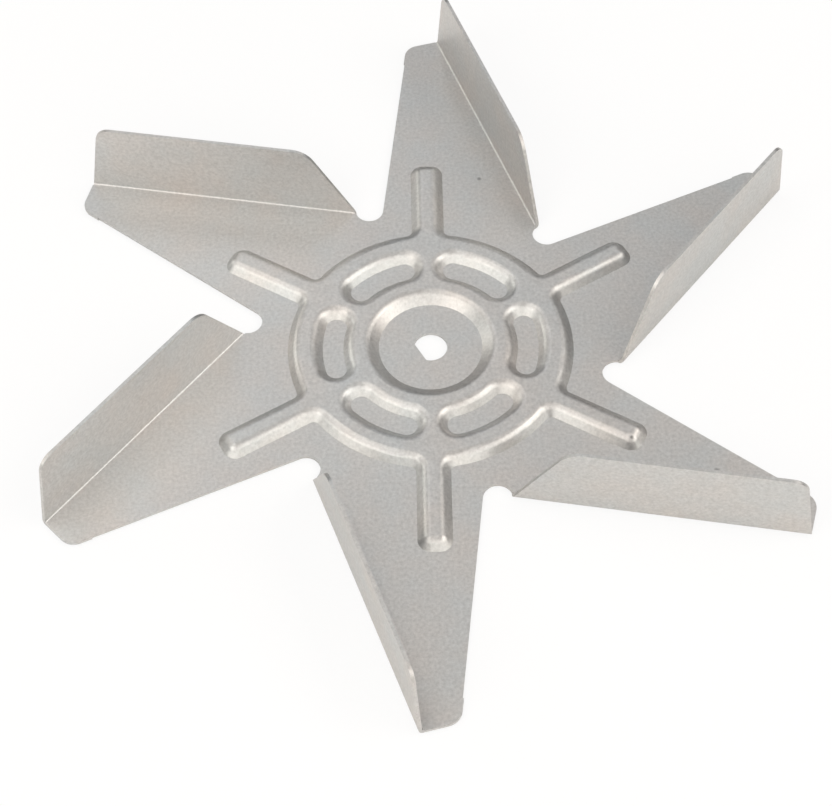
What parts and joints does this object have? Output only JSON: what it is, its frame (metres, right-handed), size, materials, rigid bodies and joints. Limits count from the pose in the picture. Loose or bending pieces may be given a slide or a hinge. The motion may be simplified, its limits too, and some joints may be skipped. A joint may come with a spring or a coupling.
{
  "type": "axial fan impeller",
  "caption": "Axial fan impeller pressed from one steel sheet: flat star blades with upturned vanes, a raised ribbed ring and a flatted shaft hole.",
  "frame": {"origin": "on the shaft axis, at the underside of the sheet", "axes": "+Z along the shaft, towards the side that the vanes stand up on; one rib points along +Y"},
  "size_m": [0.1772, 0.1994, 0.0213],
  "materials": {
    "sheet_metal": "dull aluminised sheet with a fine dotted grain"
  },
  "bodies": {
    "root": {"fan_impeller": "sheet_metal"}
  },
  "joints": []
}
